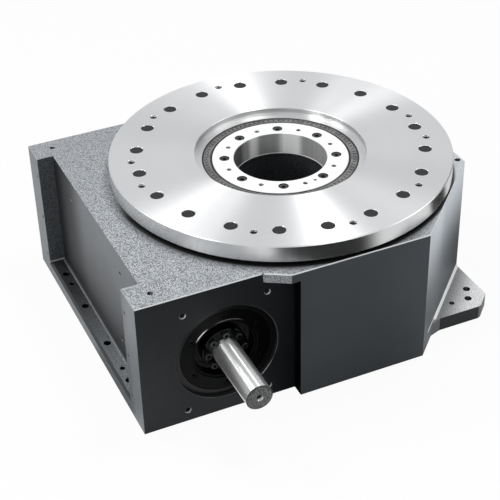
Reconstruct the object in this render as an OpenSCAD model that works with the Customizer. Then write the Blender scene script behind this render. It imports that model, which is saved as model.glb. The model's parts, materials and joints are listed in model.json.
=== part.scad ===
// Hollow rotary platform: a ring table turned by a cylindrical cam and a circle of rollers.
// Origin on the axis of the turning plate, at the base plane. +Z up, the input shaft points to -Y.

/* [Turning plate] */
// Height of the plate's top face above the base
table_height = 240; // [236:1:246]
// Outer diameter of the plate
plate_d = 500; // [496:1:504]
// Thickness of the plate
plate_t = 25; // [24:1:27]
// Diameter of the sunk centre
recess_d = 250; // [248:1:254]
// Depth of the sunk centre below the top face
recess_depth = 12; // [10:1:13]
// Circle of the screws that hold the plate
plate_pcd = 420; // [418:1:422]
// Number of those screws
plate_screws_n = 20; // [20]
// Angle of the first of those screws, from +Y towards +X
plate_screw_phase = 8.04; // [7:0.01:9]
// Circle of the tapped holes for a fixture
fixture_pcd = 434; // [432:1:436]
// Steps of half a screw pitch at which a fixture hole lies
fixture_steps = [3, 9, 11, 15, 19, 23, 29, 31, 35, 39];

/* [Housing] */
// Height of the housing
housing_h = 210; // [208:1:212]
// Distance of the front and back faces from the axis
front_y = 251; // [250:1:253]
// Distance of the right face from the axis
right_x = 250; // [249:1:252]
// Where the slanted corner faces start, from the axis
corner_start = 105; // [100:1:108]
// Distance of the left face from the axis
block_left = 316; // [314:1:320]
// Distance of the shaft block's front face from the axis
block_front = 231.5; // [230:0.5:233]
// Distance of the shaft block's back face from the axis
block_back = 227; // [226:0.5:230]
// Depth of the side pocket
pocket_depth = 24.5; // [22:0.5:26]
// Half width of the side pocket
pocket_half = 181; // [178:1:184]
// Thickness of the feet
foot_t = 22; // [20:1:24]

/* [Cam drive] */
// Distance of the cam axis from the plate axis, also the radius of the follower circle
cam_centre = 191; // [190:0.5:192]
// Height of the cam axis above the base
cam_axis_h = 98; // [97:0.5:99]
// Number of followers
followers = 12; // [12]
// Diameter of a follower roller
roller_d = 36; // [34:0.5:37]
// Outer diameter of the cam
cam_d = 124; // [120:1:126]
// Diameter of the cam's core
cam_core_d = 80; // [76:1:82]
// Length of the cam
cam_len = 150; // [140:2:160]
// Gap between a roller and the cam's flank
flank_gap = 0.5; // [0.5:0.05:0.7]
// Diameter of the input shaft
shaft_d = 38; // [36:0.5:40]
// Distance of the shaft's end from the plate axis
shaft_reach = 335; // [325:1:345]

/* [Hollow centre] */
// Bore of the still centre ring
centre_bore_d = 136.6; // [134:0.2:138]
// Outer diameter of the still centre ring
centre_ring_d = 200; // [200]
// Height of the still centre ring
centre_ring_h = 35; // [33:1:37]
// Circle of the holes in the centre ring
centre_pcd = 163.6; // [160:0.2:166]

/* [Hidden] */
$fn = 96;
eps = 0.01;
plate_r = plate_d / 2;
plate_bottom = table_height - plate_t;
ledge_z = table_height - recess_depth;
ledge_in_r = 115;
follower_pitch = 360 / followers;
roller_r = roller_d / 2;
cam_r = cam_d / 2;
core_r = cam_core_d / 2;
shaft_r = shaft_d / 2;
half_len = cam_len / 2;

// main bearing: crossed rollers between the still centre and the turning ring
bearing_in_r = centre_ring_d / 2;
bearing_out_r = 130;
bearing_mid_r = 115;
bearing_z = 195;
bearing_w = 25;
bearing_gap = 1.8;
bearing_roller_d = 12;
bearing_rollers_n = 36;

// turning ring below the plate
turret_r = 222;
turret_bottom = 163;
turret_web_z = 185;
turret_shoulder_r = 118.5;
turret_flange_in_r = 162;
housing_mouth_r = 226;

// follower
roller_low_z = 140;
roller_high_z = 161;
stud_r = 8;
shank_r = 10;
running_gap = 0.03;

// places along the cam axis
pilot_r = 75;
pilot_depth = 6;
cartridge_y = -block_front + pilot_depth;
cartridge_r = 66;
cartridge_flange = 12.5;
barrel_r = 48.5;
barrel_end = -145;
mouth_r = 43.6;
nut_y = -225;
nut_w = 18;
nut_r = 33;
sleeve_end = -197;
race_r = 42.5;
journal_r = 22.5;
brg_w = 23;
seat_r = 25;
collar_r = 29;
rear_brg_y = 150;
rear_nut_y = rear_brg_y + brg_w;
shaft_back = 188;
cap_r = 60;
cap_t = 10;
cap_spigot_r = 42.4;

// centre column
column_bore_r = 70;
column_wall_r = 88;
column_flange_r = 118;
column_flange_t = 14;
floor_t = 20;
column_head_r = 112;
seat_step = 2;
column_bolt_r = 101;
column_relief_z = 184;

// ---------- shared helpers ----------

// places its children on a circle, clockwise from +Y as seen from above
module around(pcd, angles) {
    for (a = angles) rotate([0, 0, -a]) translate([0, pcd / 2, 0]) children();
}

// turns its children so that their +Z runs along the cam axis towards +Y
module on_cam_axis(y) {
    translate([-cam_centre, y, cam_axis_h]) rotate([-90, 0, 0]) children();
}

module ring(r_in, r_out, h) {
    difference() {
        cylinder(r = r_out, h = h);
        translate([0, 0, -1]) cylinder(r = r_in, h = h + 2);
    }
}

// socket head screw with the underside of its head at z = 0
module socket_screw(d, reach, head_d, head_h) {
    difference() {
        union() {
            translate([0, 0, -reach]) cylinder(r = d / 2, h = reach);
            cylinder(r = head_d / 2, h = head_h - 0.08 * d);
            translate([0, 0, head_h - 0.08 * d])
                cylinder(r1 = head_d / 2, r2 = head_d / 2 - 0.08 * d, h = 0.08 * d);
        }
        translate([0, 0, head_h - 0.5 * d]) cylinder(r = 0.43 * d, h = d, $fn = 6);
    }
}

// blind tapped hole with a countersunk mouth at z = 0, running down
module tapped_hole(r, depth, mouth = 0.5) {
    translate([0, 0, -depth]) cylinder(r = r, h = depth + 1);
    translate([0, 0, -mouth]) cylinder(r1 = r, r2 = r + mouth, h = mouth);
    cylinder(r = r + mouth, h = 1);
}

function cross2(a, b) = a[0] * b[1] - a[1] * b[0];

// breaks the upper outer edge of an extruded outline, drawn anticlockwise, and
// stops short of its inner corners
module broken_edge(outline, z, c) {
    n = len(outline);
    for (i = [0 : n - 1]) {
        before = outline[(i + n - 1) % n];
        from = outline[i];
        to = outline[(i + 1) % n];
        after = outline[(i + 2) % n];
        run = to - from;
        start = cross2(from - before, run) > 0 ? c : -c;
        finish = cross2(run, after - to) > 0 ? c : -c;
        translate([from[0], from[1], z])
            rotate([0, 0, atan2(run[1], run[0])])
                rotate([45, 0, 0])
                    translate([-start, -c / sqrt(2), -c / sqrt(2)])
                        cube([norm(run) + start + finish, c * sqrt(2), c * sqrt(2)]);
    }
}

// ---------- housing ----------

step_z = 196;
ledge_x = [-136.5, -104];
flange_edge_x = -91;
edge_break = 1.2;

upper_outline = [
    [-block_left, -block_front], [ledge_x[0], -block_front], [ledge_x[1], -front_y],
    [corner_start, -front_y], [right_x, -corner_start - 1], [right_x, corner_start + 1],
    [corner_start, front_y], [ledge_x[1], front_y], [ledge_x[0], block_back],
    [-block_left, block_back]];

lower_outline = [
    [-block_left, -block_front], [flange_edge_x, -block_front], [flange_edge_x, -front_y],
    [corner_start, -front_y], [right_x, -corner_start - 1], [right_x, corner_start + 1],
    [corner_start, front_y], [flange_edge_x, front_y], [flange_edge_x, block_back],
    [-block_left, block_back]];

lug_x = 227;
lug_y = [-188, -211];
foot_line_x = -303;
foot_bolts_y = [49.5, 141];
foot_dowels_y = 112.5;
lug_bolts = [[230.5, 166], [220, 187]];
lug_dowel = [192, 186.5];
lift_holes = [[-284.5, 205.5], [242, 98]];
cover_holes_z = [34, 104, 176];
motor_holes = [121, 161];

lug_fillet = 6;

// foot lug in the corner in front of a slanted face; side is -1 for front, 1 for back
module lug(side) {
    wall_x = corner_start + front_y + lug_y[1];
    mirror([0, side > 0 ? 1 : 0, 0]) {
        linear_extrude(foot_t)
            polygon([[wall_x - 20, lug_y[1]], [wall_x - lug_fillet, lug_y[1] - lug_fillet],
                     [wall_x + 2 * lug_fillet, lug_y[1]], [lug_x - 3, lug_y[1]],
                     [lug_x + 2, lug_y[1] + 2], [right_x, lug_y[0]],
                     [right_x, -corner_start], [right_x - 30, -corner_start]]);
        // strip where the lug meets the slanted face
        intersection() {
            translate([right_x, -corner_start - 1, foot_t])
                rotate([0, 0, -135]) rotate([45, 0, 0])
                    translate([-1, -2.5, -2.5]) cube([160, 5, 5]);
            translate([0, lug_y[1], 0]) cube([right_x, -lug_y[1], foot_t + 10]);
        }
    }
}

// the side pocket, with a rounded foot along its inner wall and a bevel along the outer edge
module pocket() {
    fillet_r = 5;
    bevel = 3.5;
    wall_x = block_left - pocket_depth;
    translate([0, pocket_half, 0]) rotate([90, 0, 0])
        linear_extrude(2 * pocket_half)
            difference() {
                polygon([[-block_left - 1, foot_t - bevel - 1], [-block_left + bevel, foot_t],
                         [-wall_x, foot_t], [-wall_x, housing_h + 1],
                         [-block_left - 1, housing_h + 1]]);
                difference() {
                    translate([-wall_x - fillet_r, foot_t - 1]) square([fillet_r + 1, fillet_r + 1]);
                    translate([-wall_x - fillet_r, foot_t + fillet_r]) circle(r = fillet_r);
                }
            }
}

room_top_z = 161;
follower_room_r = [166, 215];
follower_room_z = 134;
column_room_r = 122;
chamber_half = [72, 120];
chamber_z = 26;
hollow_r = [128, 208];
hollow_z = 34;
hollow_edge_x = -100;
web_w = 16;

// room inside for the column, the turning ring, the followers and the cam
module housing_room() {
    translate([0, 0, room_top_z - 1]) cylinder(r = housing_mouth_r, h = housing_h);
    translate([0, 0, housing_h - 1.5])
        cylinder(r1 = housing_mouth_r, r2 = housing_mouth_r + 2, h = 2);
    translate([0, 0, follower_room_z])
        ring(follower_room_r[0], follower_room_r[1], room_top_z - follower_room_z);
    translate([0, 0, floor_t]) cylinder(r = column_room_r, h = room_top_z - floor_t);
    translate([-cam_centre - chamber_half[0], -chamber_half[1], chamber_z])
        cube([2 * chamber_half[0], 2 * chamber_half[1], room_top_z + 4 - chamber_z]);
    // hollow under the turning ring, with webs across it
    difference() {
        translate([0, 0, hollow_z]) ring(hollow_r[0], hollow_r[1], room_top_z - hollow_z);
        translate([hollow_edge_x - 200, -300, 0]) cube([200, 600, 200]);
        for (a = [-60, 0, 60]) rotate([0, 0, a])
            translate([100, -web_w / 2, 0]) cube([120, web_w, 140]);
    }
}

// bores for the cam shaft's bearings, from both ends
module shaft_bores() {
    on_cam_axis(-block_front - 1) cylinder(r = pilot_r, h = pilot_depth + 1);
    on_cam_axis(-block_front - eps) cylinder(r1 = pilot_r + 0.4, r2 = pilot_r, h = 0.4);
    on_cam_axis(cartridge_y - 1) cylinder(r = cartridge_r + 0.05, h = cartridge_flange + 1);
    on_cam_axis(cartridge_y) cylinder(r = barrel_r + 0.05, h = -cartridge_y - 100);
    on_cam_axis(100) cylinder(r = race_r, h = block_back - 100);
    on_cam_axis(block_back - cap_t - 2) cylinder(r = cap_r + 0.1, h = cap_t + 3);
    // tapped holes for the two covers
    on_cam_axis(cartridge_y + cartridge_flange - 1)
        around(2 * cartridge_screw_r, cartridge_screw_angles) cylinder(r = 3.1, h = 17);
    on_cam_axis(block_back - cap_t - 2 - 14)
        around(2 * cap_screw_r, cap_screw_angles) cylinder(r = 3.1, h = 15);
}

cartridge_screw_r = 55;
cartridge_screw_angles = [for (i = [0 : 5]) 60 * i];
cap_screw_r = 51.5;
cap_screw_angles = [for (i = [0 : 5]) 30 + 60 * i];

// holes in the housing's faces
module face_holes() {
    // motor flange
    for (sx = [-1, 1], sz = [-1, 1])
        translate([-cam_centre + sx * motor_holes[0] / 2, -block_front,
                   cam_axis_h + sz * motor_holes[1] / 2])
            rotate([90, 0, 0]) tapped_hole(4.25, 24);
    // feet
    for (s = [-1, 1]) {
        for (y = foot_bolts_y)
            translate([foot_line_x, s * y, -1]) cylinder(r = 5.5, h = foot_t + 2);
        translate([foot_line_x, s * foot_dowels_y, -1]) cylinder(r = 4, h = foot_t + 2);
        for (p = lug_bolts)
            translate([p[0], s * p[1], -1]) cylinder(r = 5.5, h = foot_t + 2);
        translate([lug_dowel[0], s * lug_dowel[1], -1]) cylinder(r = 4, h = foot_t + 2);
        // lifting holes in the top face
        for (p = lift_holes)
            translate([p[0], s * p[1], housing_h]) tapped_hole(4.25, 25);
        // holes in the pocket's end walls
        for (z = cover_holes_z)
            translate([-block_left, s * 189, z]) rotate([0, -90, 0]) tapped_hole(3.4, 20);
    }
    // holes in the pocket's inner wall
    for (p = [[-105, 177.5], [-86, 52], [105, 177.5]])
        translate([-block_left + pocket_depth, p[0], p[1]])
            rotate([0, -90, 0]) tapped_hole(3.4, 16);
    // screws of the centre column, from below
    around(2 * column_bolt_r, [for (i = [0 : 7]) 45 * i])
        translate([0, 0, -1]) {
            cylinder(r = 5.5, h = floor_t + 2);
            cylinder(r = 9, h = 12);
        }
    // oil plugs in the back face
    for (p = oil_plug_places)
        translate([p[0], block_back, p[1]]) rotate([-90, 0, 0]) tapped_hole(8.1, 26);
}

oil_plug_places = [[-272, 45], [-272, 160]];

module housing() {
    color("dimgray") difference() {
        union() {
            linear_extrude(step_z + eps) polygon(lower_outline);
            translate([0, 0, step_z]) linear_extrude(housing_h - step_z) polygon(upper_outline);
            lug(-1);
            lug(1);
        }
        broken_edge(upper_outline, housing_h, edge_break);
        pocket();
        housing_room();
        shaft_bores();
        face_holes();
        translate([0, 0, -1]) cylinder(r = 84, h = floor_t + 2);
    }
}

// ---------- still centre ----------

module centre_column() {
    color("darkslategray") difference() {
        rotate_extrude() polygon([
            [column_bore_r, 0], [83.95, 0], [83.95, floor_t], [column_flange_r, floor_t],
            [column_flange_r, floor_t + column_flange_t], [92, floor_t + column_flange_t],
            [column_wall_r, floor_t + column_flange_t + 5], [column_wall_r, 166],
            [column_head_r, 186], [column_head_r, bearing_z], [bearing_in_r + 0.05, bearing_z],
            [bearing_in_r + 0.05, bearing_z - seat_step],
            [column_bore_r + 1.5, bearing_z - seat_step], [column_bore_r + 1.5, column_relief_z],
            [column_bore_r, column_relief_z]]);
        translate([0, 0, bearing_z - seat_step]) around(centre_pcd, centre_screw_angles)
            translate([0, 0, -18]) cylinder(r = 4.1, h = 20);
        around(2 * column_bolt_r, [for (i = [0 : 7]) 45 * i])
            translate([0, 0, floor_t - 1]) cylinder(r = 5.1, h = 13);
    }
}

module column_screws() {
    color("black") around(2 * column_bolt_r, [for (i = [0 : 7]) 45 * i])
        translate([0, 0, 11]) rotate([180, 0, 0]) socket_screw(10, 20, 16, 10);
}

centre_screw_angles = [for (i = [0 : 7]) 22.5 + 45 * i];
centre_ring_low = ledge_z - centre_ring_h;
centre_sink = 9;

module centre_ring() {
    groove_z = bearing_z + bearing_w;
    color("silver") difference() {
        rotate_extrude() polygon([
            [centre_bore_d / 2, centre_ring_low], [bearing_in_r, centre_ring_low],
            [bearing_in_r, groove_z], [bearing_in_r - 2.5, groove_z],
            [bearing_in_r - 2.5, groove_z + 2.2], [bearing_in_r, groove_z + 2.2],
            [bearing_in_r, ledge_z - 0.8], [bearing_in_r - 0.8, ledge_z],
            [centre_bore_d / 2 + 0.8, ledge_z], [centre_bore_d / 2, ledge_z - 0.8]]);
        around(centre_pcd, centre_screw_angles) {
            translate([0, 0, centre_ring_low - 1]) cylinder(r = 4.5, h = centre_ring_h + 2);
            translate([0, 0, ledge_z - centre_sink]) cylinder(r = 7.5, h = centre_sink + 1);
        }
        translate([0, 0, ledge_z]) {
            around(centre_pcd, [for (i = [0 : 7]) 45 * i]) tapped_hole(3.4, 18);
            around(centre_pcd, [168.4]) tapped_hole(2.2, 12);
        }
    }
}

module centre_ring_screws() {
    color("gray") translate([0, 0, ledge_z - centre_sink])
        around(centre_pcd, centre_screw_angles) socket_screw(8, 42, 13, 8);
}

// half of the crossed roller bearing's race section: a corner notch at 45 degrees
notch = bearing_roller_d / sqrt(2) + 0.08;
bearing_mid_z = bearing_z + bearing_w / 2;

module main_bearing_inner_ring() {
    color("silver") rotate_extrude() polygon([
        [bearing_in_r, bearing_z], [bearing_mid_r - bearing_gap, bearing_z],
        [bearing_mid_r - bearing_gap, bearing_mid_z - notch + bearing_gap],
        [bearing_mid_r - notch, bearing_mid_z],
        [bearing_mid_r - bearing_gap, bearing_mid_z + notch - bearing_gap],
        [bearing_mid_r - bearing_gap, bearing_z + bearing_w], [bearing_in_r, bearing_z + bearing_w]]);
}

module main_bearing_outer_ring() {
    color("silver") rotate_extrude() polygon([
        [bearing_out_r, bearing_z], [bearing_out_r, bearing_z + bearing_w],
        [bearing_mid_r + bearing_gap, bearing_z + bearing_w],
        [bearing_mid_r + bearing_gap, bearing_mid_z + notch - bearing_gap],
        [bearing_mid_r + notch, bearing_mid_z],
        [bearing_mid_r + bearing_gap, bearing_mid_z - notch + bearing_gap],
        [bearing_mid_r + bearing_gap, bearing_z]]);
}

module main_bearing_rollers() {
    roller_len = bearing_roller_d - 0.4;
    color("gainsboro") for (i = [0 : bearing_rollers_n - 1])
        rotate([0, 0, i * 360 / bearing_rollers_n])
            translate([bearing_mid_r, 0, bearing_mid_z])
                rotate([0, i % 2 == 0 ? 45 : -45, 0])
                    cylinder(r = bearing_roller_d / 2, h = roller_len, center = true);
}

module bearing_snap_ring() {
    color("dimgray") difference() {
        translate([0, 0, bearing_z + bearing_w + 0.1]) ring(bearing_in_r - 2.4, bearing_in_r + 3, 2);
        translate([0, 90, bearing_z + bearing_w - 1]) cube([8, 40, 10], center = true);
    }
}

module rim_seal() {
    color("black") rotate_extrude() polygon([
        [housing_mouth_r, 201], [housing_mouth_r, 208], [225, 208], [222.4, 206],
        [222.4, 205], [224.4, 203.5], [224.4, 201]]);
}

// ---------- turning plate and what turns with it ----------

plate_screw_angles = [for (i = [0 : plate_screws_n - 1]) plate_screw_phase + 360 / plate_screws_n * i];
fixture_angles = [for (s = fixture_steps) plate_screw_phase + 180 / plate_screws_n * s];
plate_sink = 15;
plate_sink_r = 9.5;

module turning_plate() {
    color("gainsboro") difference() {
        rotate_extrude() polygon([
            [ledge_in_r, bearing_z + bearing_w], [ledge_in_r, ledge_z],
            [recess_d / 2, ledge_z], [recess_d / 2, table_height - 0.8],
            [recess_d / 2 + 0.8, table_height], [plate_r - 1.2, table_height],
            [plate_r, table_height - 1.2], [plate_r, plate_bottom + 1],
            [plate_r - 1, plate_bottom], [bearing_out_r + running_gap, plate_bottom],
            [bearing_out_r + running_gap, bearing_z + bearing_w]]);
        translate([0, 0, table_height]) around(plate_pcd, plate_screw_angles) {
            translate([0, 0, -plate_t - 1]) cylinder(r = 5.5, h = plate_t + 2);
            translate([0, 0, -plate_sink]) cylinder(r = plate_sink_r, h = plate_sink + 1);
            translate([0, 0, -0.6]) cylinder(r1 = plate_sink_r, r2 = plate_sink_r + 0.6, h = 0.6);
        }
        translate([0, 0, table_height]) around(fixture_pcd, fixture_angles) tapped_hole(5.1, 20);
    }
}

module plate_screws() {
    color("dimgray") translate([0, 0, table_height - plate_sink])
        around(plate_pcd, plate_screw_angles) socket_screw(10, 34, 16, 10);
}

module screw_caps() {
    color("darkslategray") translate([0, 0, table_height - 3.6])
        around(plate_pcd, plate_screw_angles) {
            cylinder(r = plate_sink_r - 0.15, h = 2.7);
            translate([0, 0, 2.7]) cylinder(r1 = plate_sink_r - 0.15, r2 = plate_sink_r - 0.7, h = 0.5);
        }
}

nut_pocket_r = 14.6;
nut_pocket_z = 199;

module turret_ring() {
    color("slategray") difference() {
        rotate_extrude() polygon([
            [turret_shoulder_r, turret_web_z], [turret_shoulder_r, bearing_z],
            [bearing_out_r + running_gap, bearing_z], [bearing_out_r + running_gap, plate_bottom],
            [turret_r, plate_bottom], [turret_r, turret_bottom],
            [turret_flange_in_r, turret_bottom], [turret_flange_in_r, turret_web_z - 8],
            [turret_flange_in_r - 8, turret_web_z]]);
        around(2 * cam_centre, follower_angles) {
            translate([0, 0, turret_bottom - 1]) cylinder(r = shank_r + 0.02, h = 60);
            translate([0, 0, nut_pocket_z]) cylinder(r = nut_pocket_r, h = 20);
        }
        translate([0, 0, plate_bottom]) around(plate_pcd, plate_screw_angles)
            translate([0, 0, -27]) cylinder(r = 5.1, h = 28);
    }
}

module centre_seal() {
    low = bearing_z + bearing_w + 2.6;
    color("dimgray") difference() {
        rotate_extrude() polygon([
            [ledge_in_r, low], [ledge_in_r, ledge_z - 0.8], [102.5, ledge_z - 0.8],
            [bearing_in_r + 1, ledge_z - 1.6], [bearing_in_r + 0.3, ledge_z - 2.6],
            [bearing_in_r + 3.4, low]]);
        // two shallow moulded grooves
        for (r = [105.5, 110.5])
            translate([0, 0, ledge_z - 1.4]) ring(r, r + 1, 2);
    }
}

// ---------- followers ----------

follower_angles = [for (i = [0 : followers - 1]) 270 + follower_pitch * i];

module follower_studs() {
    color("darkgray") around(2 * cam_centre, follower_angles) {
        translate([0, 0, roller_low_z + 0.1]) cylinder(r = 11.5, h = 1.8);
        translate([0, 0, roller_low_z + 1]) cylinder(r = stud_r, h = 24);
        translate([0, 0, roller_high_z + 0.1]) cylinder(r = 12.5, h = turret_bottom - roller_high_z - 0.1);
        translate([0, 0, turret_bottom - eps]) cylinder(r = shank_r, h = nut_pocket_z - turret_bottom);
        translate([0, 0, nut_pocket_z - 2]) cylinder(r = 8, h = 15);
    }
}

module follower_nuts() {
    color("dimgray") around(2 * cam_centre, follower_angles)
        translate([0, 0, nut_pocket_z + 0.05]) difference() {
            cylinder(r = 12 / cos(30), h = 10, $fn = 6);
            translate([0, 0, -1]) cylinder(r = 8.02, h = 12);
        }
}

module follower_roller(i) {
    a = follower_angles[i - 1];
    color("lightgray") around(2 * cam_centre, [a])
        rotate_extrude() polygon([
            [12, roller_low_z], [roller_r - 1, roller_low_z], [roller_r, roller_low_z + 1],
            [roller_r, roller_high_z - 1], [roller_r - 1, roller_high_z],
            [stud_r + running_gap, roller_high_z], [stud_r + running_gap, roller_low_z + 2],
            [12, roller_low_z + 2]]);
}

// ---------- cam ----------

// Where a follower stands when it has turned by a past the cam axis: [x, y] from that axis.
function follower_at(a) = [cam_centre * (1 - cos(a)), -cam_centre * sin(a)];

// radius at which the flank keeps clear of the follower's axis
flank_r = roller_r + flank_gap;

// slope of the groove under the follower at angle a, at height z over the cam axis
function lead_angle(a, z) = atan2(cam_centre * cos(a), followers * z - cam_centre * sin(a));

// where the roller touches the flank on one side, 1 or -1: x at height z
function touch_x(a, z, side) = follower_at(a)[0] - side * flank_r * sin(lead_angle(a, z));

// height at which that line of touch crosses radius r, closed in on in a few rounds
function touch_z(a, r, side, z, rounds = 4) =
    rounds == 0 ? z
    : touch_z(a, r, side, sqrt(pow(r, 2) - pow(touch_x(a, z, side), 2)), rounds - 1);

// a point of the flank on radius r: [angle round the cam axis, y]
function flank_point(a, r, side) =
    let (z = touch_z(a, r, side, r))
    [atan2(touch_x(a, z, side), z), follower_at(a)[1] + side * flank_r * cos(lead_angle(a, z))];

// the last angle at which a follower still touches the cam
reach_angle = asin((half_len + roller_r) / cam_centre);
// the rib's tips are cut off where they get thinner than this
rib_tip = 4;
rib_end = asin((half_len - roller_r - rib_tip) / cam_centre);
rib_steps = 96;

// One side of the rib between two followers, the first of them at angle a. Past the
// cam's end the side runs along the end face and closes in on the other side.
function rib_side(a, r, side) =
    let (own = side < 0 ? a : a + follower_pitch,
         other = side < 0 ? a + follower_pitch : a,
         past = follower_pitch + rib_end - reach_angle,
         t = (side < 0 ? a + follower_pitch + rib_end : rib_end - a) / past,
         near = flank_point(abs(own) < reach_angle ? own : side * reach_angle, r, side))
    abs(own) < reach_angle
        ? [near[0], min(max(near[1], -half_len), half_len)]
        : [t * near[0] + (1 - t) * flank_point(other, r, -side)[0], -side * half_len];

root_r = core_r - 3;
crown_steps = 4;

// the rib's section as [radius, [angle, y]], up one flank, over the crown and down again
function rib_section(a) =
    let (p = rib_side(a, cam_r, -1), q = rib_side(a, cam_r, 1))
    concat([[root_r, rib_side(a, root_r, -1)]],
           [for (k = [0 : crown_steps]) [cam_r, p + (q - p) * k / crown_steps]],
           [[root_r, rib_side(a, root_r, 1)]]);

module cam_rib() {
    first = -follower_pitch - rib_end;
    span = follower_pitch + 2 * rib_end;
    sections = [for (i = [0 : rib_steps])
        let (a = first + span * i / rib_steps)
        [for (p = rib_section(a))
            let (f = p[1][0] - followers * a)
            [p[0] * sin(f), p[1][1], p[0] * cos(f)]]];
    m = len(sections[0]);
    points = [for (s = sections) for (p = s) p];
    sides = [for (i = [0 : rib_steps - 1]) for (k = [0 : m - 1])
        let (j = (k + 1) % m)
        each [[i * m + k, i * m + j, (i + 1) * m + j], [i * m + k, (i + 1) * m + j, (i + 1) * m + k]]];
    ends = concat([for (k = [1 : m - 2]) [0, k + 1, k]],
                  [for (k = [1 : m - 2]) [rib_steps * m, rib_steps * m + k, rib_steps * m + k + 1]]);
    polyhedron(points = points, faces = concat(sides, ends), convexity = 6);
}

key_w = 14;
key_h = 9;
key_len = 90;
key_seat = 5.5;

module barrel_cam() {
    color("darkgray") difference() {
        union() {
            on_cam_axis(-half_len) cylinder(r = core_r, h = cam_len);
            translate([-cam_centre, 0, cam_axis_h]) cam_rib();
        }
        on_cam_axis(-half_len - 1) cylinder(r = seat_r + 0.02, h = cam_len + 2);
        // keyway right through the bore
        translate([-cam_centre - key_w / 2 - 0.02, -half_len - 1, cam_axis_h])
            cube([key_w + 0.04, cam_len + 2, seat_r + key_h - key_seat + 0.2]);
    }
}

module cam_key() {
    color("gray") translate([-cam_centre - key_w / 2, -key_len / 2, cam_axis_h + seat_r - key_seat + 0.01])
        cube([key_w, key_len, key_h]);
}

// ---------- cam shaft, its bearings, nuts and covers ----------

module camshaft() {
    color("silver") difference() {
        translate([-cam_centre, 0, cam_axis_h]) rotate([-90, 0, 0])
            rotate_extrude() polygon([
                [0, -shaft_reach], [shaft_r - 1.6, -shaft_reach], [shaft_r, -shaft_reach + 1.6],
                [shaft_r, nut_y - 1.5], [shaft_r - 0.4, nut_y - 1.5],
                [shaft_r - 0.4, nut_y + 0.5], [shaft_r, nut_y + 0.5], [shaft_r, nut_y + nut_w],
                [journal_r, nut_y + nut_w], [journal_r, sleeve_end + 2 * brg_w],
                [collar_r, sleeve_end + 2 * brg_w], [collar_r, -half_len], [seat_r, -half_len],
                [seat_r, half_len], [journal_r, half_len], [journal_r, rear_nut_y],
                [22, rear_nut_y], [22, shaft_back - 1], [21, shaft_back], [0, shaft_back]]);
        // seat of the cam's key
        translate([-cam_centre - key_w / 2, -key_len / 2, cam_axis_h + seat_r - key_seat])
            cube([key_w, key_len, key_seat + 1]);
        // centre hole in the driven end
        on_cam_axis(-shaft_reach - eps) {
            cylinder(r1 = 5, r2 = 3, h = 3);
            cylinder(r = 3, h = 16);
        }
    }
}

module cam_spacer() {
    color("gray") on_cam_axis(half_len) ring(journal_r + 0.02, collar_r, rear_brg_y - half_len);
}

module seal_sleeve() {
    color("silver") on_cam_axis(nut_y + nut_w)
        ring(journal_r + 0.02, collar_r, sleeve_end - nut_y - nut_w);
}

lock_screw_r = 26.5;
lock_screw_d = 6;
lock_screw_angles = [for (i = [0 : 7]) 45 * i];

// clamping nut that is drawn against the seal sleeve by a ring of screws
module lock_nut() {
    slot = 6;
    bore_r = shaft_r + 0.02;
    color("dimgray") on_cam_axis(nut_y) difference() {
        rotate_extrude() polygon([
            [bore_r, 0], [nut_r - 1, 0], [nut_r, 1], [nut_r, nut_w - 1], [nut_r - 1, nut_w],
            [bore_r, nut_w]]);
        around(2 * lock_screw_r, lock_screw_angles)
            translate([0, 0, -1]) cylinder(r = lock_screw_d / 2 + 0.05, h = nut_w - 1);
        for (i = [0 : 3]) rotate([0, 0, 22.5 + 90 * i])
            translate([nut_r - 2, -slot / 2, -1]) cube([4, slot, nut_w + 2]);
    }
}

module lock_nut_screws() {
    color("gray") on_cam_axis(nut_y) around(2 * lock_screw_r, lock_screw_angles)
        rotate([180, 0, 0]) socket_screw(lock_screw_d, nut_w - 4, 10, 6);
}

module rear_lock_nut() {
    color("dimgray") on_cam_axis(rear_nut_y) difference() {
        ring(22.02, 31, 10);
        for (i = [0 : 3]) rotate([0, 0, 45 + 90 * i])
            translate([28.5, -3, -1]) cube([5, 6, 12]);
    }
}

module front_bearing_housing() {
    lip_r = 47;
    lip_y = cartridge_y + 2.2;
    color("darkslategray") difference() {
        on_cam_axis(0) rotate_extrude() polygon([
            [mouth_r, lip_y + 1], [mouth_r + 1, lip_y], [lip_r, lip_y], [lip_r, cartridge_y + 0.8],
            [lip_r + 0.8, cartridge_y], [cartridge_r - 0.8, cartridge_y],
            [cartridge_r, cartridge_y + 0.8], [cartridge_r, cartridge_y + cartridge_flange],
            [barrel_r, cartridge_y + cartridge_flange], [barrel_r, barrel_end], [37, barrel_end],
            [37, sleeve_end + 2 * brg_w], [race_r, sleeve_end + 2 * brg_w], [race_r, sleeve_end],
            [mouth_r, sleeve_end]]);
        on_cam_axis(cartridge_y) around(2 * cartridge_screw_r, cartridge_screw_angles) {
            translate([0, 0, -1]) cylinder(r = 3.3, h = cartridge_flange + 2);
            translate([0, 0, -1]) cylinder(r = 5.5, h = 7.5);
        }
    }
}

module front_housing_screws() {
    color("gray") on_cam_axis(cartridge_y + 6.5)
        around(2 * cartridge_screw_r, cartridge_screw_angles)
            rotate([180, 0, 0]) socket_screw(6, 18, 10, 6);
}

module shaft_seal() {
    seal_y = nut_y + nut_w + 1;
    color("black") on_cam_axis(seal_y) rotate_extrude() polygon([
        [collar_r + 0.05, 3], [collar_r + 0.05, 4.5], [collar_r + 2.5, 6], [mouth_r - 4, 6],
        [mouth_r - 4, 8], [mouth_r - 0.02, 8], [mouth_r - 0.02, 0], [mouth_r - 5, 0],
        [mouth_r - 6, 1.5], [collar_r + 3, 1.5]]);
}

// tapered roller bearing, its wide end towards +Z when flipped is 0
taper = 13;
taper_mid_r = 32.5;
taper_roller_r = 4.6;
taper_len = 15;
taper_n = 12;
race_play = 0.08;

// distance of a race line from the axis, z from the bearing's middle
function race_line(z, out) =
    taper_mid_r + tan(taper) * z + out * (taper_roller_r + race_play) / cos(taper);

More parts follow.
